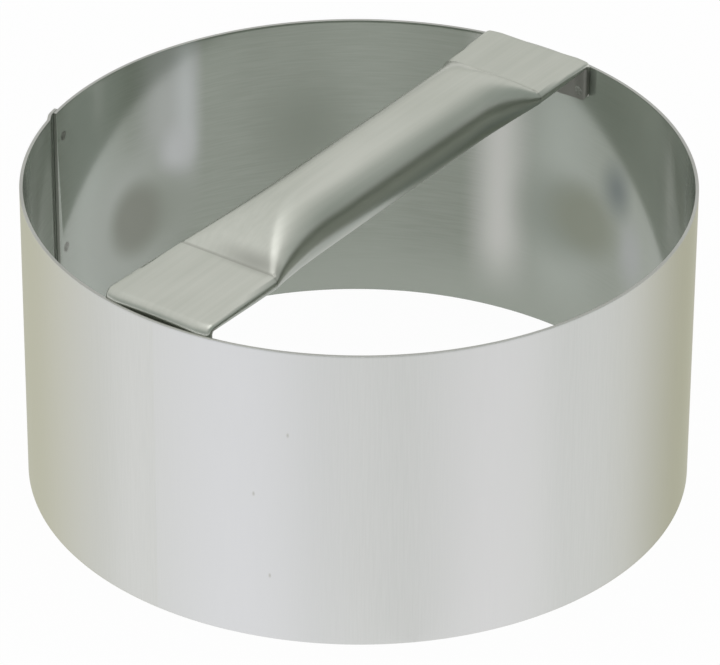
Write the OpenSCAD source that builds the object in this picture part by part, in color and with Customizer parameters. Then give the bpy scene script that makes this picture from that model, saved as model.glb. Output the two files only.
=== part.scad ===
/* [Ring band] */
// Outside diameter of the band
ring_d = 154; // [120:1:220]
// Height of the band from the cutting edge to the rim
ring_h = 75; // [50:1:120]
// Thickness of the band's sheet
sheet = 0.8; // [0.5:0.05:1.2]

/* [Seam] */
// Angle from the rear end of the handle to the band's inner end, in degrees
seam_angle = 102.5; // [60:0.5:120]
// Length by which the outer end laps over the inner end
lap_len = 6.5; // [5:0.1:10]
// Length of the sloping step that carries the outer end outwards
step_len = 2.6; // [1.5:0.1:5]
// Open groove between the step and the inner end
groove_w = 0.9; // [0.3:0.1:2]
// Clearance between the two layers of the lap
lap_clearance = 0.05; // [0.03:0.01:0.15]
// Length cut off each corner of the lap
corner_clip = 4.4; // [1:0.1:4.5]

/* [Handle tube] */
// Outside diameter of the tube
tube_d = 19; // [14:0.5:26]
// Wall of the tube
tube_wall = 1; // [0.7:0.05:1.4]
// Distance by which the handle lies off the ring's middle, towards the seam
handle_offset = 0.7; // [-2:0.1:2]
// Height of the tube's axis above the rim
tube_rise = 0.2; // [-2:0.1:5]
// Height of the middle of the flat ends above the rim, where they bend down
flat_rise = 1; // [0:0.1:3]
// Distance from the ring's axis to the front crease, where the flat end starts
front_crease = 49; // [38:0.5:52]
// Length over which the tube opens from flat to round behind the front crease
front_flare = 28; // [18:0.5:34]
// Distance from the ring's axis to the rear crease
rear_crease = 54.5; // [38:0.5:55]
// Length over which the tube opens from flat to round before the rear crease
rear_flare = 16; // [12:0.5:34]
// Extra thickness of the flat ends at the creases, where they start to gape
crease_gape = 2; // [0.4:0.1:2.4]

/* [End tabs] */
// Inside radius of the bend from each flat end down into its tab
bend_r = 0.3; // [0.2:0.1:3]
// Reach of the tabs below the rim
tab_drop = 8.5; // [7:0.5:20]
// Gap between the middle of a tab, which is straighter than the band, and the band
tab_bow = 1; // [0:0.1:1.2]
// Radius of the tabs' lower corners
tab_corner_r = 2; // [0.5:0.1:2.5]

/* [Spot welds] */
// Diameter of a weld
weld_d = 2.4; // [1.5:0.1:3]
// Depth of the dimple at each end of a weld
weld_dimple = 0.1; // [0.05:0.05:0.15]
// Welds along the seam
seam_weld_count = 3; // [2:1:5]
// Distance from the band's edges to the end welds of the seam
seam_weld_margin = 7.5; // [5:0.5:12]
// Distance from a tab's side and lower edges to the middle of its weld
tab_weld_inset = 2.3; // [2:0.1:4]

/* [Hidden] */

steel = [0.80, 0.80, 0.77];
polished_steel = [0.72, 0.72, 0.67];
weld_steel = [0.60, 0.60, 0.57];
$fn = 180;
past = 1; // how far a cutting shape runs past what it cuts
step_past = 0.6; // how far the step's line runs past its two ends

outer_r = ring_d / 2;
inner_r = outer_r - sheet;
lap_inner_r = outer_r + lap_clearance;
lap_outer_r = lap_inner_r + sheet;

// An arc length along the band's outside, as an angle in degrees.
function arc_angle(length) = length / outer_r * 180 / PI;
step_foot_angle = seam_angle + arc_angle(groove_w);
step_start_angle = step_foot_angle + arc_angle(step_len);
lap_end_angle = seam_angle - arc_angle(lap_len);
seam_weld_angle = (seam_angle + lap_end_angle) / 2;
seam_weld_pitch = (ring_h - 2 * seam_weld_margin) / (seam_weld_count - 1);

// The tube keeps the girth of its wall's middle line however far it is pressed flat.
girth = PI * (tube_d - tube_wall);
flat_half_t = tube_wall;
crease_half_t = tube_wall + crease_gape / 2;
function flat_half_w(half_t) = (girth - 2 * PI * (half_t - tube_wall / 2)) / 4;
tab_half_w = flat_half_w(flat_half_t) + flat_half_t;

tube_z = ring_h + tube_rise;
flat_z = ring_h + flat_rise;
bend_mid_r = bend_r + flat_half_t;
bend_axis_r = inner_r - flat_half_t - bend_mid_r;
bend_axis_z = flat_z - bend_mid_r;
tab_low_z = ring_h - tab_drop;
tab_weld_z = tab_low_z + tab_weld_inset;
tab_touch = tab_half_w - tab_weld_inset - weld_d / 2;
// Angle of a weld at one side of a tab, on the rear end. The front end mirrors it.
function tab_weld_angle(side) =
    asin((handle_offset + side * (tab_half_w - tab_weld_inset)) / (inner_r - flat_half_t));
tab_weld_angles = [for (side = [-1, 1]) each [tab_weld_angle(side), 180 - tab_weld_angle(side)]];

// Counts of facets: across half a flat face, round a quarter of a folded edge,
// along a flare, round a bend and down a tab.
face_steps = 10;
fold_steps = 3;
flare_steps = 9;
bend_steps = 6;
tab_steps = 3;

// One quarter of the girth, from the middle of a flat face to the middle of a folded edge.
quarter = concat(
    [for (i = [0 : face_steps]) flat_half_w(flat_half_t) * i / face_steps],
    [for (i = [1 : fold_steps])
        flat_half_w(flat_half_t)
        + (girth / 4 - flat_half_w(flat_half_t)) * i / fold_steps]);
quarter_steps = face_steps + fold_steps;
ring_count = 4 * quarter_steps;

// A point of the quarter section: [sideways, upwards], "inset" within the outside surface.
function quarter_point(along, half_t, inset) =
    let (half_w = flat_half_w(half_t),
         turn = max(0, along - half_w) / (half_t - tube_wall / 2) * 180 / PI)
    [min(along, half_w) + (half_t - inset) * sin(turn), (half_t - inset) * cos(turn)];

// Point i of the whole section, mirrored from the quarter and set over to the handle's place.
function section_point(i, half_t, inset) =
    let (q = floor(i / quarter_steps),
         k = i - q * quarter_steps,
         p = quarter_point(quarter[q % 2 == 0 ? k : quarter_steps - k], half_t, inset))
    [handle_offset + (q < 2 ? p[0] : -p[0]), q == 0 || q == 3 ? p[1] : -p[1]];

function section(half_t, inset = 0) = [for (i = [0 : ring_count - 1]) section_point(i, half_t, inset)];

// How far the tube has opened at a share of the way along a flare: fast at first, then easing.
function opening(share) = 1 - pow(1 - share, 2);
function blend(a, b, share) = a + (b - a) * share;

// One section of the straight part of the handle, at distance x from the ring's axis.
function straight_ring(x, share, inset = 0) =
    let (half_t = blend(crease_half_t, tube_d / 2, opening(share)))
    [for (p = section(half_t, inset)) [x, p[0], tube_z + p[1]]];

// One flare, from its crease towards the middle of the handle.
function flare_rings(side, crease, flare, inset = 0) =
    [for (i = [0 : flare_steps]) straight_ring(side * (crease - flare * i / flare_steps),
                                               i / flare_steps, inset)];

// How far a tab stands off the band at y. It lies against the band from its welds outwards.
function stand_off(y) = tab_bow * max(0, 1 - pow((y - handle_offset) / tab_touch, 2));

// A point of a bend or a tab, given by its radius if the tab lay against the band all over.
function round_point(side, r, y, z) = [side * (sqrt(r * r - y * y) - stand_off(y)), y, z];

// The bend: "turn" goes from 0 at the flat end to 90 at the tab.
function bend_ring(side, turn) =
    [for (p = section(flat_half_t))
        round_point(side, bend_axis_r + (bend_mid_r + p[1]) * sin(turn), p[0],
                    bend_axis_z + (bend_mid_r + p[1]) * cos(turn))];

// Height of the tab's lower edge at y, with its round corners.
function tab_edge_z(y) =
    let (into = max(0, abs(y - handle_offset) - (tab_half_w - tab_corner_r)))
    tab_low_z + tab_corner_r - sqrt(max(0, tab_corner_r * tab_corner_r - into * into));

function tab_ring(side, share) =
    [for (p = section(flat_half_t))
        round_point(side, inner_r - flat_half_t + p[1], p[0],
                    blend(bend_axis_z, tab_edge_z(p[0]), share))];

// One whole end, from the tab's lower edge up to the crease.
function end_rings(side) = concat(
    [for (i = [tab_steps : -1 : 1]) tab_ring(side, i / tab_steps)],
    [for (i = [bend_steps : -1 : 0]) bend_ring(side, 90 * i / bend_steps)]);

function reversed(list) = [for (i = [len(list) - 1 : -1 : 0]) list[i]];

// A closed skin over a row of sections. Each end is capped across its thickness.
module skin(rings) {
    points = [for (ring = rings) each ring];
    last = (len(rings) - 1) * ring_count;
    half = 2 * quarter_steps;
    sides = [for (j = [0 : len(rings) - 2], i = [0 : ring_count - 1])
        let (a = j * ring_count + i,
             b = j * ring_count + (i + 1) % ring_count)
        each [[a, b, b + ring_count], [a, b + ring_count, a + ring_count]]];
    // Across the thickness, point i of the upper face stands over point "under" of the lower one.
    first_cap = [for (i = [-quarter_steps : quarter_steps - 1])
        let (a = (i + ring_count) % ring_count,
             b = (i + 1 + ring_count) % ring_count,
             under_a = (half - i) % ring_count,
             under_b = (half - i - 1) % ring_count)
        each [[a, under_b, b], [a, under_a, under_b]]];
    last_cap = [for (face = first_cap) [last + face[0], last + face[2], last + face[1]]];
    polyhedron(points, [for (face = concat(sides, first_cap, last_cap))
        if (face[0] != face[1] && face[1] != face[2] && face[2] != face[0]) face], convexity = 8);
}

// A radial rod through the band's wall, for the welds and for their seats.
module radial_rod(angle, z, from_r, to_r) {
    rotate([0, 0, angle]) translate([from_r, 0, z]) rotate([0, 90, 0])
        cylinder(d = weld_d, h = to_r - from_r, $fn = 48);
}

// A sleeve about the ring's axis, which gives a weld's two ends the curve of the wall.
module sleeve(from_r, to_r) {
    difference() {
        cylinder(r = to_r, h = ring_h);
        translate([0, 0, -past]) cylinder(r = from_r, h = ring_h + 2 * past);
    }
}

module seam_weld_rods(from_r, to_r) {
    for (i = [0 : seam_weld_count - 1])
        radial_rod(seam_weld_angle, seam_weld_margin + i * seam_weld_pitch, from_r, to_r);
}

module tab_weld_rods(from_r, to_r) {
    for (angle = tab_weld_angles) radial_rod(angle, tab_weld_z, from_r, to_r);
}

// A point at radius r and an angle about the ring's axis.
function polar(r, angle) = r * [cos(angle), sin(angle)];

// The disc inside one face of the sheet, "inset" within the outside one. It swells out to the lap
// past a straight step, and back in at the lap's end.
module lapped_disc(inset) {
    foot = polar(lap_outer_r - inset, step_foot_angle);
    start = polar(outer_r - inset, step_start_angle);
    reach = step_past * (foot - start) / norm(foot - start);
    circle(r = outer_r - inset);
    intersection() {
        circle(r = lap_outer_r - inset);
        polygon([[0, 0], polar(2 * outer_r, lap_end_angle), polar(2 * outer_r, seam_angle),
                 foot + reach, start - reach]);
    }
}

// The band's inner end, from under the lap to the seam, overlapping the band on the other side.
module inner_end() {
    intersection() {
        difference() {
            circle(r = outer_r);
            circle(r = inner_r);
        }
        polygon([[0, 0], polar(2 * outer_r, lap_end_angle - arc_angle(lap_len)),
                 polar(2 * outer_r, seam_angle)]);
    }
}

// One corner's clipping, pointing along the lap. It stays outside the inner end.
module corner_cut() {
    difference() {
        rotate([0, 0, lap_end_angle]) translate([outer_r - past, 0, 0]) rotate([90, 0, 90])
            linear_extrude(sheet + 3 * past)
                polygon([[-past, -past], [corner_clip + past, -past], [-past, corner_clip + past]]);
        translate([0, 0, -2 * past])
            cylinder(r = outer_r + lap_clearance / 2, h = ring_h);
    }
}

module ring_band() {
    color(steel) difference() {
        linear_extrude(ring_h) {
            difference() {
                lapped_disc(0);
                lapped_disc(sheet);
            }
            inner_end();
        }
        corner_cut();
        translate([0, 0, ring_h]) mirror([0, 0, 1]) corner_cut();
        seam_weld_rods(inner_r - past, lap_outer_r + past);
        tab_weld_rods(inner_r - past, outer_r + past);
    }
}

module handle_tube() {
    color(polished_steel) difference() {
        skin(concat(
            end_rings(-1), flare_rings(-1, front_crease, front_flare),
            reversed(flare_rings(1, rear_crease, rear_flare)), reversed(end_rings(1))));
        skin(concat(
            flare_rings(-1, front_crease, front_flare, tube_wall),
            reversed(flare_rings(1, rear_crease, rear_flare, tube_wall))));
        tab_weld_rods(inner_r - 2 * flat_half_t - past, inner_r + past);
    }
}

module seam_welds() {
    color(weld_steel) intersection() {
        seam_weld_rods(inner_r - past, lap_outer_r + past);
        sleeve(inner_r + weld_dimple, lap_outer_r - weld_dimple);
    }
}

module tab_welds() {
    color(weld_steel) intersection() {
        tab_weld_rods(inner_r - 2 * flat_half_t - past, outer_r + past);
        sleeve(inner_r - 2 * flat_half_t + weld_dimple, outer_r - weld_dimple);
    }
}

ring_band();
handle_tube();
seam_welds();
tab_welds();
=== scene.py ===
# %% [markdown]
# # A biscuit cutter: a steel ring with a tube handle
#
# The real tool is made from two pieces of stainless steel. A strip of sheet is rolled into a
# ring, and its two ends lap and are spot-welded. A length of round tube is pressed flat at both
# ends, bent down inside the rim and spot-welded to the ring. A imported CAD model gives every
# place and size here, and this file gives it the looks: thin sheet, a tube that opens out of
# its flats, small weld marks, and steel that is satin outside and darker inside, with painted
# shade and painted reflections in its colour.

# %% Load the imported model
import math

import bmesh
import bpy
from mathutils import Matrix, Vector


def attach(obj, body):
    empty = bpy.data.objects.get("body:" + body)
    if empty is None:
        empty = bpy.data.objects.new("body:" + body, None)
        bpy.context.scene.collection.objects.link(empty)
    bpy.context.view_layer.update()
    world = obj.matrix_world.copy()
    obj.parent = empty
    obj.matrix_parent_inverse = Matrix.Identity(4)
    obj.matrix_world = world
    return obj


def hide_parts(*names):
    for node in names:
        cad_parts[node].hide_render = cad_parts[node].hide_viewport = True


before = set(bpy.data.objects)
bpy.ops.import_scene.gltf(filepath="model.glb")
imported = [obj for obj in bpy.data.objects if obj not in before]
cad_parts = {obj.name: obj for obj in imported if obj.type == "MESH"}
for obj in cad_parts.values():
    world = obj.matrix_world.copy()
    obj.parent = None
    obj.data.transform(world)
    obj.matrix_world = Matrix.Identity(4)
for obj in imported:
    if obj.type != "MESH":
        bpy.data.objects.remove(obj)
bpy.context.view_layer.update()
print("CAD nodes:", sorted(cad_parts))

# %% [markdown]
# ## Sizes
#
# The lengths repeat the CAD model's own values, so that each piece lands where its node is.
# They are written in millimetres, as a drawing would give them, and one factor turns them into
# Blender's metres. The handle lies along X with its rear end at +X, and the seam is on the
# +Y side.

# %% Sizes of the ring and the handle
MM = 0.001
RING_R, RING_H, SHEET = 77 * MM, 75 * MM, 0.8 * MM
INNER_R = RING_R - SHEET
SEAM_ANGLE = math.radians(102.5)
LAP_LEN, STEP_LEN, GROOVE_W, LAP_CLEARANCE = 6.5 * MM, 2.6 * MM, 0.9 * MM, 0.05 * MM
CORNER_CLIP = 4.4 * MM
TUBE_R, TUBE_WALL, TUBE_RISE, FLAT_RISE = 9.5 * MM, 1 * MM, 0.2 * MM, 1 * MM
HANDLE_OFFSET = 0.7 * MM
FRONT_CREASE, FRONT_FLARE = 49 * MM, 28 * MM
REAR_CREASE, REAR_FLARE = 54.5 * MM, 16 * MM
CREASES = {-1: FRONT_CREASE, 1: REAR_CREASE}
CREASE_GAPE, BEND_R = 2 * MM, 0.3 * MM
TAB_DROP, TAB_BOW, TAB_CORNER_R = 8.5 * MM, 1 * MM, 2 * MM
WELD_R, WELD_INSET = 1.2 * MM, 2.3 * MM
SEAM_WELD_HEIGHTS = (7.5 * MM, 37.5 * MM, 67.5 * MM)
print("ring", 2 * RING_R, "across,", RING_H, "high")

# %% [markdown]
# ## Working by selection
#
# Blender's mesh operators act on whatever is selected, as they do when you work by hand. Small
# helpers keep that tidy: one leaves a single object selected, and one selects edges or faces by
# a test on the places of their points. Others apply a modifier, put an object's place into its
# mesh, and shade it smooth up to an angle.

# %% Helpers for selecting and finishing
def only(obj):
    """Leave one object selected and active."""
    bpy.ops.object.select_all(action="DESELECT")
    obj.select_set(True)
    bpy.context.view_layer.objects.active = obj


def select(obj, kind, test):
    """In edit mode, select the "EDGE"s or "FACE"s that pass a test on all their points."""
    bpy.ops.mesh.select_mode(type=kind)
    bpy.ops.mesh.select_all(action="DESELECT")
    mesh = bmesh.from_edit_mesh(obj.data)
    for item in mesh.edges if kind == "EDGE" else mesh.faces:
        if all(test(v.co) for v in item.verts):
            item.select_set(True)
    mesh.select_flush(True)
    bmesh.update_edit_mesh(obj.data)


def apply_modifier(obj, kind, **settings):
    """Add a modifier, set it and apply it."""
    only(obj)
    modifier = obj.modifiers.new(kind, kind)
    for name, value in settings.items():
        setattr(modifier, name, value)
    bpy.ops.object.modifier_apply(modifier=modifier.name)


def place_in_mesh(obj):
    """Put the object's place, turn and scale into its mesh."""
    only(obj)
    bpy.ops.object.transform_apply(location=True, rotation=True, scale=True)


def smooth_below(obj, degrees):
    """Shade an object smooth, except over edges that bend by more than an angle."""
    only(obj)
    bpy.ops.object.shade_smooth_by_angle(angle=math.radians(degrees))


# %% Helpers for places round the ring
def angle_of(p):
    """Angle of a point about the ring's axis, from 0 up to a full turn."""
    return math.atan2(p[1], p[0]) % math.tau


def polar(r, angle, z=0.0):
    """The point at a radius, an angle and a height."""
    return Vector((r * math.cos(angle), r * math.sin(angle), z))


# %% [markdown]
# ## The ring's sheet
#
# On the real ring the strip's outer end steps outwards by its own thickness and laps over the
# inner end. So the sheet is drawn as a surface first, at the middle of its thickness. The step
# is its one flat stretch and starts as a plane. Both arcs are spun from the plane's upright
# edges: the long one is the ring and the short one is the lap.

# %% The step, as a plane between its two upright edges
STEP_FOOT = SEAM_ANGLE + GROOVE_W / RING_R
STEP_START = STEP_FOOT + STEP_LEN / RING_R
LAP_END = SEAM_ANGLE - LAP_LEN / RING_R
MID_R = RING_R - SHEET / 2
LAP_MID_R = RING_R + LAP_CLEARANCE + SHEET / 2
foot, start = polar(LAP_MID_R, STEP_FOOT), polar(MID_R, STEP_START)
run = start - foot

bpy.ops.object.select_all(action="DESELECT")
bpy.ops.mesh.primitive_plane_add(size=1, rotation=(math.pi / 2, 0, math.atan2(run.y, run.x)),
                                 location=(foot + start) / 2 + Vector((0, 0, RING_H / 2)))
ring = bpy.context.active_object
ring.name = "ring_sheet"
ring.scale = (run.length, RING_H, 1)
place_in_mesh(ring)
print("step:", run.length, "long")

# %% The two arcs
NEAR = 0.01 * MM
ARC_STEPS, LAP_STEPS = 300, 8


def on_lap(p):
    """Whether a point lies outside the ring's own sheet."""
    return p.xy.length > MID_R + SHEET / 2


def at_step_start(p):
    """Whether a point lies on the edge that the ring is spun from."""
    return abs(angle_of(p) - STEP_START) < NEAR / RING_R


def at_step_foot(p):
    """Whether a point lies on the edge that the lap is spun from."""
    return abs(angle_of(p) - STEP_FOOT) < NEAR / RING_R and p.xy.length > LAP_MID_R - NEAR


bpy.ops.object.mode_set(mode="EDIT")
select(ring, "EDGE", at_step_start)
bpy.ops.mesh.spin(steps=ARC_STEPS, angle=STEP_START - SEAM_ANGLE - math.tau,
                  center=(0, 0, 0), axis=(0, 0, 1))
select(ring, "EDGE", at_step_foot)
bpy.ops.mesh.spin(steps=LAP_STEPS, angle=STEP_FOOT - LAP_END, center=(0, 0, 0), axis=(0, 0, 1))
bpy.ops.object.mode_set(mode="OBJECT")
lap = [math.degrees(angle_of(v.co)) for v in ring.data.vertices if on_lap(v.co)]
print("ring surface:", len(ring.data.polygons), "faces, lap from", min(lap), "to", max(lap),
      "degrees")

# %% [markdown]
# ## Bends, clipped corners and thickness
#
# Sheet can't be folded to a sharp line, so a small bevel softens the step's two bends. The
# lap's corners are clipped by bisecting them with a slanting plane, as snips would. Solidify
# then gives every stretch the same thickness, which is what makes rolled sheet look right, and
# a last fine bevel eases the cut edges. A loop just inside each rim keeps the wall's shading
# even.

# %% Soften the step's bends and clip the lap's corners
STEP_BEND_R, RIM_LOOP = 0.5 * MM, 0.6 * MM
bpy.ops.object.mode_set(mode="EDIT")
select(ring, "EDGE", lambda p: at_step_start(p) or at_step_foot(p))
bpy.ops.mesh.bevel(offset=STEP_BEND_R, segments=3, affect="EDGES")
clip_angle = LAP_END + CORNER_CLIP / 2 / RING_R
along = Vector((-math.sin(clip_angle), math.cos(clip_angle), 0))
for height, inwards in ((CORNER_CLIP / 2, 1), (RING_H - CORNER_CLIP / 2, -1)):
    select(ring, "FACE", lambda p: on_lap(p) and angle_of(p) < STEP_FOOT)
    bpy.ops.mesh.bisect(plane_co=polar(LAP_MID_R, clip_angle, height),
                        plane_no=along + Vector((0, 0, inwards)), clear_inner=True)
for height in (RIM_LOOP, RING_H - RIM_LOOP):
    bpy.ops.mesh.select_all(action="SELECT")
    bpy.ops.mesh.bisect(plane_co=(0, 0, height), plane_no=(0, 0, 1))
bpy.ops.mesh.select_all(action="SELECT")
bpy.ops.mesh.remove_doubles(threshold=NEAR / 10)
bpy.ops.mesh.normals_make_consistent(inside=False)
bpy.ops.object.mode_set(mode="OBJECT")
print("clipped surface:", len(ring.data.polygons), "faces")

# %% Give the sheet its thickness and its eased edges
EDGE_EASE, CUT_EDGE_DEGREES, RING_SMOOTH_DEGREES = 0.12 * MM, 40, 35
apply_modifier(ring, "SOLIDIFY", thickness=SHEET, offset=0, use_even_offset=True)
apply_modifier(ring, "BEVEL", width=EDGE_EASE, segments=2, limit_method="ANGLE",
               angle_limit=math.radians(CUT_EDGE_DEGREES))
smooth_below(ring, RING_SMOOTH_DEGREES)
print("ring sheet:", len(ring.data.polygons), "faces")

# %% [markdown]
# ## The handle
#
# Pressing a tube flat doesn't change its girth: the wall only bends. So the handle starts as a
# round tube with many rings along it, and each ring is pressed by a rule that keeps the girth.
# A pressed ring is two flat faces joined by two half-round folds, and the thinner it is, the
# wider it gets. At the creases the tube is a little thicker than its two walls, and from there
# it opens, fast at first and then easing. A station says how one ring is pressed and where it
# goes.

# %% The stations along the handle
FACE_STEPS, FOLD_STEPS = 20, 7
QUARTER = FACE_STEPS + FOLD_STEPS
TAB_RINGS, BEND_RINGS, FLAT_RINGS, FLARE_RINGS, FLARE_CROWDING = 6, 8, 8, 26, 1.5
GIRTH = math.tau * (TUBE_R - TUBE_WALL / 2)
TUBE_Z, FLAT_Z = RING_H + TUBE_RISE, RING_H + FLAT_RISE
FLAT_T = TUBE_WALL


def mix(a, b, share):
    """The value at a share of the way from a to b."""
    return a + (b - a) * share


def opening(share):
    """How far the tube has opened at a share of the way along a flare."""
    return 1 - (1 - share) ** 2


def end_stations(crease, flare):
    """Stations from a tab's lower edge to the round of the tube: kind, place, half_t, middle."""
    crease_t = FLAT_T + CREASE_GAPE / 2
    rows = [("tab", 1 - i / TAB_RINGS, FLAT_T, None) for i in range(TAB_RINGS)]
    rows += [("bend", math.pi / 2 * (1 - i / BEND_RINGS), FLAT_T, None)
             for i in range(BEND_RINGS)]
    for share in (i / FLAT_RINGS for i in range(FLAT_RINGS + 1)):
        rows.append(("flat", share, mix(FLAT_T, crease_t, share), mix(FLAT_Z, TUBE_Z, share)))
    for i in range(1, FLARE_RINGS + 1):
        share = (i / FLARE_RINGS) ** FLARE_CROWDING
        rows.append(("flare", crease - flare * share, mix(crease_t, TUBE_R, opening(share)),
                     TUBE_Z))
    return rows


front = [(-1,) + row for row in end_stations(FRONT_CREASE, FRONT_FLARE)]
rear = [(1,) + row for row in end_stations(REAR_CREASE, REAR_FLARE)]
stations = front + rear[::-1]
print("stations:", len(stations))

# %% [markdown]
# ## The round tube
#
# An open cylinder is the tube before the press. Its long edges are all selected and subdivided
# once for each station, so that it has a ring of vertices wherever the press needs one.

# %% Draw the round tube with its rings
bpy.ops.object.select_all(action="DESELECT")
bpy.ops.mesh.primitive_cylinder_add(vertices=4 * QUARTER, radius=TUBE_R, depth=2 * RING_R,
                                    end_fill_type="NOTHING", rotation=(0, math.pi / 2, 0))
handle = bpy.context.active_object
handle.name = "handle"
place_in_mesh(handle)


def select_edges(obj, test):
    """In edit mode, select the edges that pass a test on the edge itself."""
    bpy.ops.mesh.select_mode(type="EDGE")
    bpy.ops.mesh.select_all(action="DESELECT")
    mesh = bmesh.from_edit_mesh(obj.data)
    for edge in mesh.edges:
        if test(edge):
            edge.select_set(True)
    bmesh.update_edit_mesh(obj.data)


bpy.ops.object.mode_set(mode="EDIT")
select_edges(handle, lambda edge: abs(edge.verts[0].co.x - edge.verts[1].co.x) > RING_R)
bpy.ops.mesh.subdivide(number_cuts=len(stations) - 2)
bpy.ops.object.mode_set(mode="OBJECT")
print("round tube:", len(handle.data.vertices), "vertices,", len(stations), "rings")

# %% [markdown]
# ## Pressing the tube
#
# Operators can't press a ring this way, so the vertices are moved in code, as a press tool
# would move them. First each ring gets its pressed outline, and then it goes to its place: on
# the tab, round the bend, along the flat or in the flare. The tab bows off the curved wall
# between its welds. A number is kept at each vertex as an attribute: 0 on the handle's top,
# and 1 on the side that faces down or towards the ring, where its colour is painted shade.

# %% The rule for one pressed ring
def flat_half_w(half_t):
    """Half the width of the flat faces of a ring pressed to a half thickness."""
    return (GIRTH - math.tau * (half_t - TUBE_WALL / 2)) / 4


def quarter_length(k):
    """Length along a quarter of the girth up to its vertex k."""
    flat = flat_half_w(FLAT_T)
    if k <= FACE_STEPS:
        return flat * k / FACE_STEPS
    return mix(flat, GIRTH / 4, (k - FACE_STEPS) / FOLD_STEPS)


def pressed(index, half_t):
    """Vertex "index" of a ring pressed to a half thickness, as (sideways, upwards)."""
    q, k = divmod(index, QUARTER)
    length = quarter_length(k if q % 2 == 0 else QUARTER - k)
    half_w = flat_half_w(half_t)
    turn = max(0, length - half_w) / (half_t - TUBE_WALL / 2)
    side = min(length, half_w) + half_t * math.sin(turn)
    up = half_t * math.cos(turn)
    return (side if q < 2 else -side), (up if q in (0, 3) else -up)


SHADE_FROM, TAB_SHADE_FROM, EASE_OVER = 0.15, 0.95, 0.4


def side_shading(facing, polish_end):
    """0 on the top of a pressed ring and 1 underneath, where shade is painted, easing over round
    its folds.
    """
    return min(1, max(0, (polish_end - facing) / EASE_OVER))


print("width pressed flat:", 2 * (flat_half_w(FLAT_T) + FLAT_T))

# %% The places of the tab, the bend, the flat and the flare
BEND_MID_R = BEND_R + FLAT_T
BEND_X = INNER_R - FLAT_T - BEND_MID_R
BEND_Z = FLAT_Z - BEND_MID_R
TAB_LOW_Z = RING_H - TAB_DROP
TAB_HALF_W = flat_half_w(FLAT_T) + FLAT_T


def tab_edge_z(y):
    """Height of a tab's lower edge, with its round corners."""
    into = max(0, abs(y) - (TAB_HALF_W - TAB_CORNER_R))
    return TAB_LOW_Z + TAB_CORNER_R - math.sqrt(max(0, TAB_CORNER_R ** 2 - into ** 2))


def stand_off(y):
    """How far a tab stands off the ring. It is straighter, and touches from its welds outwards."""
    return TAB_BOW * max(0, 1 - (y / (TAB_HALF_W - WELD_INSET - WELD_R)) ** 2)


def placed(station, y, up):
    """A pressed point in its place on the handle."""
    end, kind, value, _, middle = station
    across = y + HANDLE_OFFSET
    if kind == "flare":
        return end * value, across, middle + up
    if kind == "flat":
        bend = math.sqrt(BEND_X ** 2 - across ** 2) - stand_off(y)
        return end * mix(bend, CREASES[end], value), across, middle + up
    if kind == "tab":
        r, z = INNER_R - FLAT_T + up, mix(BEND_Z, tab_edge_z(y), value)
    else:
        r = BEND_X + (BEND_MID_R + up) * math.sin(value)
        z = BEND_Z + (BEND_MID_R + up) * math.cos(value)
    return end * (math.sqrt(r * r - across * across) - stand_off(y)), across, z


print("tabs from height", TAB_LOW_Z, "to", BEND_Z)

# %% Press the rings
pitch = 2 * RING_R / (len(stations) - 1)
# The attribute marks where painted shade goes: under the handle and on the tabs.
shaded_side = handle.data.attributes.new("shaded_side", "FLOAT", "POINT")
for v in handle.data.vertices:
    station = stations[round((v.co.x + RING_R) / pitch)]
    kind, half_t = station[1], station[3]
    index = round(math.atan2(v.co.y, v.co.z) / math.tau * 4 * QUARTER) % (4 * QUARTER)
    y, up = pressed(index, half_t)
    v.co = placed(station, y, up)
    shaded_side.data[v.index].value = side_shading(up / half_t,
                                        TAB_SHADE_FROM if kind == "tab" else SHADE_FROM)
print("handle from", min(v.co.x for v in handle.data.vertices), "to",
      max(v.co.x for v in handle.data.vertices))

# %% [markdown]
# ## The tabs' lower edges
#
# A real pressed tube keeps a slit between its two walls. The open end is filled, its face is
# inset by nearly one wall, and the middle is pushed up a little, which leaves a shallow groove.

# %% Close the tabs' lower edges with the slit of the pressed mouth
SLIT_RIM, SLIT_DEPTH, HANDLE_SMOOTH_DEGREES = 0.8 * TUBE_WALL, 0.6 * MM, 22
only(handle)
bpy.ops.object.mode_set(mode="EDIT")
for end in (-1, 1):
    select_edges(handle, lambda edge: edge.is_boundary and edge.verts[0].co.x * end > 0)
    bpy.ops.mesh.edge_face_add()
    bpy.ops.mesh.inset(thickness=SLIT_RIM, depth=0)
    bpy.ops.mesh.extrude_region_move(TRANSFORM_OT_translate={"value": (0, 0, SLIT_DEPTH)})
bpy.ops.mesh.select_all(action="SELECT")
bpy.ops.mesh.normals_make_consistent(inside=False)
bpy.ops.object.mode_set(mode="OBJECT")
smooth_below(handle, HANDLE_SMOOTH_DEGREES)
print("handle:", len(handle.data.polygons), "faces")

# %% [markdown]
# ## The spot welds
#
# A spot weld leaves a shallow round print where the electrode pressed. One weld is modelled
# as a rod through both sheets, whose inner end has a raised lip and a dished middle. Outside,
# the marks were ground away, so the outer end stays just under the ring's satin skin. The
# others are copies of its mesh, turned and moved to their places.

# %% One weld
LIP, SKIN = 0.03 * MM, 0.05 * MM
RIM_W, SLOPE_W, DISH_W, DISH_DEPTH = 0.3 * MM, 0.25 * MM, 0.3 * MM, 0.8 * LIP
WELD_SIDES, WELD_SMOOTH_DEGREES = 40, 50


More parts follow.
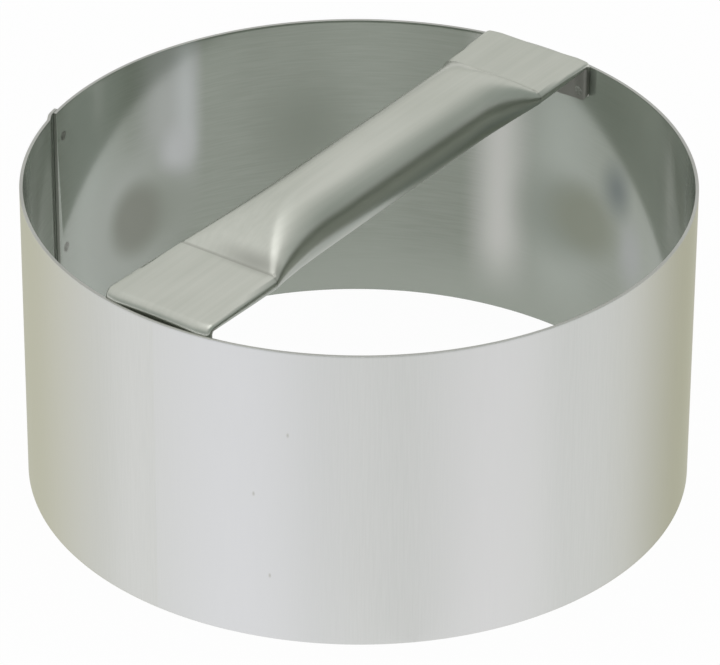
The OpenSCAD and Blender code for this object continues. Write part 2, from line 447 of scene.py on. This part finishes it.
def weld_rod(name, from_r, to_r):
    """A weld along X between two radii, at height 0, with a dished print at its inner end."""
    bpy.ops.object.select_all(action="DESELECT")
    inner_end, outer_end = from_r - LIP, to_r - SKIN
    bpy.ops.mesh.primitive_cylinder_add(vertices=WELD_SIDES, radius=WELD_R,
                                        depth=outer_end - inner_end,
                                        location=((inner_end + outer_end) / 2, 0, 0),
                                        rotation=(0, math.pi / 2, 0))
    rod = bpy.context.active_object
    rod.name = name
    place_in_mesh(rod)
    bpy.ops.object.mode_set(mode="EDIT")
    select(rod, "FACE", lambda p: abs(p.x - inner_end) < NEAR / 2)
    bpy.ops.mesh.inset(thickness=RIM_W)
    bpy.ops.mesh.inset(thickness=SLOPE_W)
    bpy.ops.transform.translate(value=(DISH_DEPTH, 0, 0))
    bpy.ops.mesh.inset(thickness=DISH_W)
    bpy.ops.mesh.select_all(action="SELECT")
    bpy.ops.mesh.normals_make_consistent(inside=False)
    bpy.ops.object.mode_set(mode="OBJECT")
    smooth_below(rod, WELD_SMOOTH_DEGREES)
    return rod


# %% Copies of the weld in their places
def weld_row(name, from_r, to_r, places):
    """Welds at (angle, height) places, joined as one piece."""
    rod = weld_rod(name, from_r, to_r)
    rods = [rod]
    for _ in places[1:]:
        twin = rod.copy()
        twin.data = rod.data.copy()
        bpy.context.scene.collection.objects.link(twin)
        rods.append(twin)
    only(rod)
    for weld, (angle, height) in zip(rods, places):
        weld.data.transform(Matrix.Translation((0, 0, height)) @ Matrix.Rotation(angle, 4, "Z"))
        weld.select_set(True)
    bpy.ops.object.join()
    print(name + ":", len(places), "welds,", len(rod.data.polygons), "faces")
    return rod


SEAM_WELD_ANGLE = (SEAM_ANGLE + LAP_END) / 2
seam_marks = weld_row("seam_weld_marks", INNER_R, RING_R + LAP_CLEARANCE + SHEET,
                      [(SEAM_WELD_ANGLE, height) for height in SEAM_WELD_HEIGHTS])
tab_places = []
for side in (-1, 1):
    across = HANDLE_OFFSET + side * (TAB_HALF_W - WELD_INSET)
    angle = math.asin(across / (INNER_R - FLAT_T))
    tab_places += [(angle, TAB_LOW_Z + WELD_INSET), (math.pi - angle, TAB_LOW_Z + WELD_INSET)]
tab_marks = weld_row("tab_weld_marks", INNER_R - 2 * FLAT_T, RING_R, tab_places)

# %% [markdown]
# ## Writing shader maths
#
# A finish is a small calculation on the surface's own coordinates. Wiring Math nodes by hand
# is slow to read, so a Wire wraps one output socket and lets Python's operators add the nodes:
# `1 - grain * 0.2` makes a Multiply and a Subtract. Any other node comes from one method.

# %% A socket that Python can calculate with
class Wire:
    """One output socket of a node tree, with arithmetic."""

    def __init__(self, tree, socket=None):
        self.tree, self.socket = tree, socket

    def node(self, kind, settings=None, inputs=None, out=0):
        """Add a node, set it, feed it, and return one of its outputs."""
        made = self.tree.nodes.new("ShaderNode" + kind)
        for name, value in (settings or {}).items():
            setattr(made, name, value)
        for key, value in (inputs or {}).items():
            socket = made.inputs[key]
            if isinstance(value, Wire):
                self.tree.links.new(value.socket, socket)
            else:
                socket.default_value = value
        return Wire(self.tree, made.outputs[out])

    def maths(self, operation, a, b):
        """A Math node on two values."""
        return self.node("Math", {"operation": operation}, {0: a, 1: b})

    def __add__(self, other):
        return self.maths("ADD", self, other)

    def __radd__(self, other):
        return self.maths("ADD", other, self)

    def __sub__(self, other):
        return self.maths("SUBTRACT", self, other)

    def __rsub__(self, other):
        return self.maths("SUBTRACT", other, self)

    def __mul__(self, other):
        return self.maths("MULTIPLY", self, other)

    def __rmul__(self, other):
        return self.maths("MULTIPLY", other, self)

    def larger(self, other):
        """The larger of two values."""
        return self.maths("MAXIMUM", self, other)

    def split(self):
        """The three parts of a vector."""
        parts = self.node("SeparateXYZ", {}, {"Vector": self}).socket.node.outputs
        return [Wire(self.tree, part) for part in parts]

    def length(self):
        """Length of a vector."""
        return self.node("VectorMath", {"operation": "LENGTH"}, {0: self}, out="Value")

    def angle(self):
        """Angle about the ring's axis, in degrees from -180 to 180."""
        x, y = self.split()[:2]
        return self.maths("ARCTAN2", y, x) * math.degrees(1)

    def band(self, low, high):
        """0 below low, 1 above high, and a soft rise between them."""
        return self.node("MapRange", {"interpolation_type": "SMOOTHSTEP"},
                         {"Value": self, "From Min": low, "From Max": high})

    def near(self, place, reach):
        """1 at a place, easing to 0 at a reach from it."""
        away = self.node("Math", {"operation": "ABSOLUTE"}, {0: self - place})
        return 1 - away.band(0, reach)

    def noise(self, scale, stretch=(1, 1, 1), detail=2.0):
        """Noise about 0.5 on this vector. A small stretch draws it out along that axis."""
        coords = self.node("Mapping", {}, {"Vector": self, "Scale": stretch})
        return self.node("TexNoise", {"noise_dimensions": "3D"},
                         {"Vector": coords, "Scale": scale, "Detail": detail})

    def blend(self, a, b):
        """From colour a to colour b as this goes from 0 to 1."""
        a, b = (c + (1,) if isinstance(c, tuple) else c for c in (a, b))
        return self.node("Mix", {"data_type": "RGBA"}, {0: self, 6: a, 7: b}, out=2)


# %% A material from what varies and what doesn't
def finish_named(name, build, **fixed):
    """A metal material: "build" returns what varies, and "fixed" what is the same all over."""
    material = bpy.data.materials.new(name)
    material.use_nodes = True
    tree = material.node_tree
    shader = tree.nodes["Principled BSDF"]
    for key, value in {"Metallic": 1.0, **fixed}.items():
        shader.inputs[key.replace("_", " ")].default_value = value
    coords = Wire(tree).node("TexCoord", out="Object")
    for key, wire in build(coords).items():
        tree.links.new(wire.socket, shader.inputs[key])
    print("finish:", name, len(tree.nodes), "nodes")
    return material


# %% [markdown]
# ## The sheet's finish
#
# The sheet was rolled and left satin, with a fine grain. Outside, the grain runs up the wall.
# Noise that is sampled on X and Y but drawn out along Z gives such upright lines at any angle,
# because the surface itself is round. Inside, the grain runs round, so there the noise is drawn
# out along X and Y. Hair-fine lines drive the roughness and the bump, and broad soft bands
# drive the colour.
#
# Here most such marks are painted light. A streak is an upright band of another colour at an
# angle round the ring, and every streak is a painted reflection or painted shade. A stain is a
# soft oval, and up to its core it has its full colour; the specks outside are the steel's own
# marks, and the ovals inside are painted reflections and painted shade. Both are placed by angle
# and height, in object coordinates, so they stay on the steel when the view turns.

# %% The grained finish
GRAIN_SCALE, BAND_SCALE, BUMP_DEPTH = 2600, 34, 0.03 * MM
UPRIGHT, ROUND, BROAD = (1, 1, 0.04), (0.04, 0.04, 1), (1, 1, 0.06)
GRAIN_CONTRAST, BAND_CONTRAST = (0.25, 0.75), (0.3, 0.7)
BAND_SHARE, GRAIN_SHARE, LEAST_LIGHT = 0.45, 0.3, 0.12
STREAK_FADE = 20 * MM


def grained(light, dark, grain_rough, base_rough, bump, grain, painted_streaks=(), specks_and_painted_ovals=()):
    """The rolled sheet's finish, between two colours, with its grain upright or round.

    A streak, a band of painted reflection or painted shade, is (angle, reach, foot, colour) and
    fades in above its foot. A stain, a real speck or an oval of painted reflection or painted
    shade, is (angle, reach, middle, half height, core, colour). Angles and reaches are in degrees.
    """
    def build(coords):
        lines = coords.noise(GRAIN_SCALE, grain, detail=3)
        bands = coords.noise(BAND_SCALE, BROAD, detail=1.5)
        tone = bands.band(*BAND_CONTRAST) * BAND_SHARE + lines.band(*GRAIN_CONTRAST) * GRAIN_SHARE
        colour = (tone + LEAST_LIGHT).blend(dark, light)
        relief = coords.node("Bump", {}, {"Strength": bump, "Distance": BUMP_DEPTH,
                                          "Height": lines})
        angle, rise = coords.angle(), coords.split()[2]
        for place, reach, foot, patch in painted_streaks:
            streak = angle.near(place, reach) * rise.band(foot, foot + STREAK_FADE)
            colour = streak.blend(colour, patch)
        for place, reach, middle, half_height, core, patch in specks_and_painted_ovals:
            off = coords.node("CombineXYZ", {}, {"X": (angle - place) * (1 / reach),
                                                 "Y": (rise - middle) * (1 / half_height)})
            colour = (1 - off.length().band(core, 1)).blend(colour, patch)
        return {"Base Color": colour, "Roughness": lines * grain_rough + base_rough,
                "Normal": relief}
    return build


# %% [markdown]
# ## Outside, inside and cut edge
#
# Outside the satin is fairly rough, and a yellowish specular tint warms the steel where it is
# seen edge-on. Its paler streaks are painted reflections, and the darker ones at its two sides
# are painted shade. Three tiny specks sit on the front. Inside it is glossier, and its darker
# colour is painted shade; a Metallic below 1 keeps it from mirroring everything, as a matt film
# does. The paler streaks and the darker ovals there are painted reflections and painted shade of
# soft shapes that such a wall mirrors. The cut edges are bare bright metal.

# %% Satin outside
FROM_BELOW = -100 * MM  # the foot of a streak that runs the wall's full height
SPECK_REACH, SPECK_HALF_H, SPECK_COLOUR = 0.35, 0.9 * MM, (0.55, 0.545, 0.52)
SPECK_PLACES = ((-156, 54 * MM), (-159.1, 16.8 * MM), (-161.8, 37.7 * MM))
sheet_outside = finish_named(
    "sheet_outside",
    grained(light=(0.73, 0.735, 0.725), dark=(0.62, 0.63, 0.615),
            grain_rough=0.12, base_rough=0.34, bump=0.25, grain=UPRIGHT,
            # Paler streaks are painted reflections; the darker, yellower ones at 150 and -76
            # degrees are painted shade at the wall's two sides.
            painted_streaks=((-165, 24, FROM_BELOW, (0.745, 0.75, 0.765)),
                     (-122, 16, FROM_BELOW, (0.72, 0.72, 0.72)),
                     (150, 24, FROM_BELOW, (0.65, 0.65, 0.605)),
                     (-76, 26, FROM_BELOW, (0.54, 0.54, 0.49))),
            specks_and_painted_ovals=[(angle, SPECK_REACH, height, SPECK_HALF_H, 0, SPECK_COLOUR)
                    for angle, height in SPECK_PLACES]),
    Specular_Tint=(0.68, 0.67, 0.50, 1))

# %% Darker inside: its colour is painted shade
sheet_inside = finish_named(
    "sheet_inside",
    # Both base colours inside are darker than outside as painted shade.
    grained(light=(0.44, 0.475, 0.42), dark=(0.30, 0.328, 0.28),
            grain_rough=0.04, base_rough=0.09, bump=0.10, grain=ROUND,
            # All the streaks inside are painted reflections.
            painted_streaks=((92, 14, FROM_BELOW, (0.51, 0.55, 0.505)),  # beside the seam
                     (-4, 15, FROM_BELOW, (0.53, 0.57, 0.52)),  # beside the rear tab
                     (-25, 17, FROM_BELOW, (0.44, 0.475, 0.42)),
                     (73, 9, 35 * MM, (0.54, 0.56, 0.54)),  # the bright patch in the upper wall
                     (68.5, 4.5, 32 * MM, (0.64, 0.66, 0.66)),
                     (9, 8, FROM_BELOW, (0.76, 0.76, 0.73))),  # the bright bar by the handle
            # The paler foot and the ovals are painted reflections and painted shade.
            specks_and_painted_ovals=((20, 300, 0, 21 * MM, 0, (0.47, 0.505, 0.45)),  # a paler foot all round
                    (45, 14, 46 * MM, 22 * MM, 0, (0.30, 0.33, 0.28)),
                    (81, 17, 33 * MM, 24 * MM, 0.4, (0.50, 0.53, 0.49)),
                    (70.5, 5.5, 47 * MM, 10 * MM, 0.1, (0.66, 0.67, 0.68)),
                    (77, 13, 32 * MM, 15 * MM, 0.3, (0.375, 0.405, 0.355)),
                    (80, 8, 32.5 * MM, 12.5 * MM, 0.4, (0.305, 0.32, 0.275)),
                    (-4, 13, 31 * MM, 18 * MM, 0.2, (0.365, 0.40, 0.35)),
                    (-22.5, 6, 31 * MM, 15 * MM, 0, (0.50, 0.52, 0.51)),
                    (-10, 11, 33 * MM, 13.5 * MM, 0.3, (0.325, 0.35, 0.28)),
                    (-18, 6, 46 * MM, 11 * MM, 0, (0.22, 0.255, 0.245)))),
    Metallic=0.42)

# %% Bright cut edge
cut_edge = finish_named("cut_edge", grained(light=(0.62, 0.62, 0.60), dark=(0.46, 0.46, 0.44),
                                            grain_rough=0.10, base_rough=0.26, bump=0.02,
                                            grain=UPRIGHT))

# %% [markdown]
# ## The tube's finish
#
# The tube was brushed along its length, so its lines are drawn out along X, and soft clouds
# vary its tone and its roughness. A thin darker line along each crease and a darker patch at the
# foot of the front flare are painted shade. The underside and the tabs take a darker colour,
# also painted shade, where the attribute from the pressing says so, and the tabs, found by
# their distance from the ring's axis, are rougher as well.

# %% Brushed tube
TUBE_LINES, LINES_STRETCH = 900, (0.03, 1, 1)
TUBE_CLOUDS, CLOUDS_STRETCH = 45, (0.6, 1, 1)
CLOUD_CONTRAST, LINE_CONTRAST = (0.3, 0.7), (0.2, 0.8)
CLOUD_SHARE, LINE_SHARE, TUBE_BUMP = 0.55, 0.4, 0.08
POLISHED_DARK, POLISHED_LIGHT = (0.605, 0.62, 0.57), (0.72, 0.725, 0.68)
# Painted shade at the foot of the front flare and along both creases.
FOOT_SHADE, CREASE_SHADE = (0.46, 0.465, 0.43), (0.34, 0.34, 0.31)
# Painted shade under the handle and on the tabs.
UNDERSIDE_SHADE, TAB_SHADE = (0.34, 0.37, 0.34), (0.30, 0.30, 0.275)
FOOT_ALONG, FOOT_ACROSS = (-FRONT_CREASE + 1.5 * MM, 4 * MM), (-6 * MM, 15 * MM)
FRONT_LINE, REAR_LINE = (-FRONT_CREASE, 0.6 * MM), (REAR_CREASE, 0.5 * MM)
FRONT_LINE_SHARE, REAR_LINE_SHARE = 0.5, 0.35
TAB_INNER_R, TAB_OUTER_R = 72.6 * MM, 73.4 * MM
TUBE_ROUGH, CLOUD_ROUGH, TAB_ROUGH = 0.26, 0.08, 0.25


def brushed_tube(coords):
    """Bright brushed steel, with painted shade at the creases, underneath and on the tabs."""
    lines = coords.noise(TUBE_LINES, LINES_STRETCH, detail=3)
    clouds = coords.noise(TUBE_CLOUDS, CLOUDS_STRETCH, detail=2)
    tone = clouds.band(*CLOUD_CONTRAST) * CLOUD_SHARE + lines.band(*LINE_CONTRAST) * LINE_SHARE
    relief = coords.node("Bump", {}, {"Strength": TUBE_BUMP, "Distance": BUMP_DEPTH,
                                      "Height": lines})
    x, y = coords.split()[:2]
    polished = tone.blend(POLISHED_DARK, POLISHED_LIGHT)
    polished = (x.near(*FOOT_ALONG) * y.near(*FOOT_ACROSS)).blend(polished, FOOT_SHADE)
    creases = x.near(*FRONT_LINE) * FRONT_LINE_SHARE + x.near(*REAR_LINE) * REAR_LINE_SHARE
    polished = creases.blend(polished, CREASE_SHADE)
    # Where the handle's colour takes painted shade, from the pressing's attribute.
    painted_shade_share = coords.node("Attribute", {"attribute_name": "shaded_side"}, out="Fac")
    tabs = (x * x + y * y).band(TAB_INNER_R ** 2, TAB_OUTER_R ** 2)
    return {"Base Color": painted_shade_share.blend(polished, tabs.blend(UNDERSIDE_SHADE, TAB_SHADE)),
            "Roughness": clouds * CLOUD_ROUGH + painted_shade_share * tabs * TAB_ROUGH + TUBE_ROUGH,
            "Normal": relief}


tube_steel = finish_named("tube_steel", brushed_tube, Specular_Tint=(0.9, 0.9, 0.87, 1))

# %% [markdown]
# ## The welds' finish
#
# The electrode's heat leaves each print grey and slightly speckled, so a fine noise mixes two
# greys and roughens it.

# %% Weld prints
SPECKLE_SCALE, SPECKLE_CONTRAST = 1500, (0.35, 0.65)
PRINT_DARK, PRINT_LIGHT = (0.24, 0.245, 0.22), (0.36, 0.37, 0.34)
PRINT_ROUGH, SPECKLE_ROUGH = 0.3, 0.2


def weld_print(coords):
    """Heat-greyed, speckled steel."""
    spots = coords.noise(SPECKLE_SCALE, detail=3)
    return {"Base Color": spots.band(*SPECKLE_CONTRAST).blend(PRINT_DARK, PRINT_LIGHT),
            "Roughness": spots * SPECKLE_ROUGH + PRINT_ROUGH}


weld_steel = finish_named("weld_steel", weld_print)

# %% [markdown]
# ## Dressing the pieces
#
# Solidify keeps one list of faces, so the faces get their finish by where they look: outwards,
# inwards, or along the cut edges. Each piece then takes the place of its CAD node and rides on
# the part's one body.

# %% Give the faces their finish and put the pieces in place of the CAD nodes
WALL_FACING = 0.7
for material in (sheet_outside, sheet_inside, cut_edge):
    ring.data.materials.append(material)
for face in ring.data.polygons:
    outward = Vector((face.center.x, face.center.y, 0)).normalized()
    facing = face.normal.dot(outward)
    face.material_index = 0 if facing > WALL_FACING else 1 if facing < -WALL_FACING else 2
handle.data.materials.append(tube_steel)
for marks in (seam_marks, tab_marks):
    marks.data.materials.append(weld_steel)

for piece, node, slot in ((ring, "ring_band", "band_steel"), (handle, "handle_tube", "tube_steel"),
                          (seam_marks, "seam_welds", "weld_steel"),
                          (tab_marks, "tab_welds", "weld_steel")):
    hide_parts(node)
    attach(piece, "root")
print("pieces:", [piece.name for piece in (ring, handle, seam_marks, tab_marks)])

# %% [markdown]
# ## The floor
#
# Metal shows its surroundings, so the surroundings are part of its look. The floor is a wide
# pale sheet. Where the camera or a reflection sees it, nearly all of its light is its own, so
# both see the same white, and the small rest is ordinary matt paint that keeps the object's
# soft shadow. Far from the ring, where only reflections look, it fades to grey, because a white
# that never ends would wash the steel out.

# %% Floor
FLOOR_SIZE, OWN_LIGHT = 8, 0.97
FADE_FROM, FADE_TO, FAR_GREY = 0.7, 1.7, (0.38, 0.385, 0.38)
bpy.ops.object.select_all(action="DESELECT")
bpy.ops.mesh.primitive_plane_add(size=FLOOR_SIZE)
floor = bpy.context.active_object
floor.name = "floor"
pale = bpy.data.materials.new("pale_floor")
pale.use_nodes = True
tree = pale.node_tree
tree.nodes.remove(tree.nodes["Principled BSDF"])
camera_ray, glossy_ray, through_ray = (
    Wire(tree).node("LightPath", out="Is " + name + " Ray")
    for name in ("Camera", "Glossy", "Transmission"))
rays = camera_ray + glossy_ray + through_ray
seen = rays.node("Math", {"operation": "MINIMUM"}, {0: rays, 1: 1.0}) * OWN_LIGHT
paint = rays.node("BsdfDiffuse", {}, {"Color": (0.9, 0.9, 0.9, 1)})
far_off = rays.node("TexCoord", out="Object").length().band(FADE_FROM, FADE_TO)
own = rays.node("Emission", {}, {"Color": far_off.blend((1, 1, 1), FAR_GREY), "Strength": 1.0})
surface = rays.node("MixShader", {}, {0: seen, 1: paint, 2: own})
tree.links.new(surface.socket, tree.nodes["Material Output"].inputs["Surface"])
floor.data.materials.append(pale)
print("floor:", floor.dimensions.x, "across")

# %% [markdown]
# ## The room and its lamp
#
# The world stands for the room. It is pale, but dimmer towards two of its sides and low down,
# so that the steel has something darker to show: that is what makes it read as metal. A world's
# Generated coordinates are the direction that is looked in, so each dim side is a band on one
# of its parts. One broad square lamp hangs nearly overhead and draws the soft highlights along
# the handle.

# %% World and lamp
ROOM_PALE, ROOM_DIM = (0.705, 0.715, 0.69), (0.34, 0.375, 0.35)
SOUTH_BAND, WEST_BAND, LOW_BAND, LOW_DIM = (0.24, 0.76), (-0.2, 0.8), (0.75, 1.0), 0.5
world = bpy.data.worlds.new("studio")
bpy.context.scene.world = world
world.use_nodes = True
room = world.node_tree
east, north, up = Wire(room).node("TexCoord", out="Generated").split()
south_side = (0 - north).band(*SOUTH_BAND)
west_side = (0 - east - up).band(*WEST_BAND)
low_down = (1 - up).band(*LOW_BAND) * LOW_DIM
dim = south_side.larger(west_side).larger(low_down)
room.links.new(dim.blend(ROOM_PALE, ROOM_DIM).socket, room.nodes["Background"].inputs["Color"])

LAMP_PLACE, LAMP_SIZE, LAMP_WATTS = Vector((0.02, -0.12, 1.2)), 1.1, 2.2
lamp = bpy.data.lights.new("top_lamp", "AREA")
lamp.size, lamp.energy = LAMP_SIZE, LAMP_WATTS
top_lamp = bpy.data.objects.new("top_lamp", lamp)
bpy.context.scene.collection.objects.link(top_lamp)
top_lamp.location = LAMP_PLACE
top_lamp.rotation_euler = (-LAMP_PLACE).to_track_quat("-Z", "Y").to_euler()
print("lamp at", LAMP_PLACE)

# %% [markdown]
# ## The camera
#
# The photograph's camera was found from the ring itself: its two circles look like two
# ellipses, and only one distance, height and lens turns them into those shapes. It stands about
# 1.2 m away, 31 degrees above the floor, at the front end of the handle and a little to its
# side.

# %% Camera
FRAME_W, FRAME_H, SENSOR_W = 720, 665, 36
FOCAL_PX, CENTRE_X, CENTRE_Y = 5302.46, 358.46, 319.95
DISTANCE, ELEVATION, TURN, ROLL = 1.2222, 31.319, -144.6, 0.281
aim = Vector((0, 0, RING_H / 2))
elevation, turn = math.radians(ELEVATION), math.radians(TURN)
away = Vector((math.cos(elevation) * math.cos(turn), math.cos(elevation) * math.sin(turn),
               math.sin(elevation)))
lens = bpy.data.cameras.new("camera")
lens.sensor_width = SENSOR_W
lens.lens = FOCAL_PX / FRAME_W * SENSOR_W
lens.shift_x = (FRAME_W / 2 - CENTRE_X) / FRAME_W
lens.shift_y = (CENTRE_Y - FRAME_H / 2) / FRAME_W
lens.clip_start, lens.clip_end = 0.05, 20
camera = bpy.data.objects.new("camera", lens)
bpy.context.scene.collection.objects.link(camera)
camera.matrix_world = (Matrix.Translation(aim + DISTANCE * away)
                       @ away.to_track_quat("Z", "Y").to_matrix().to_4x4()
                       @ Matrix.Rotation(math.radians(ROLL), 4, "Z"))
bpy.context.scene.camera = camera
bpy.context.scene.view_settings.view_transform = "Standard"
print("camera at", camera.location, "lens", lens.lens)
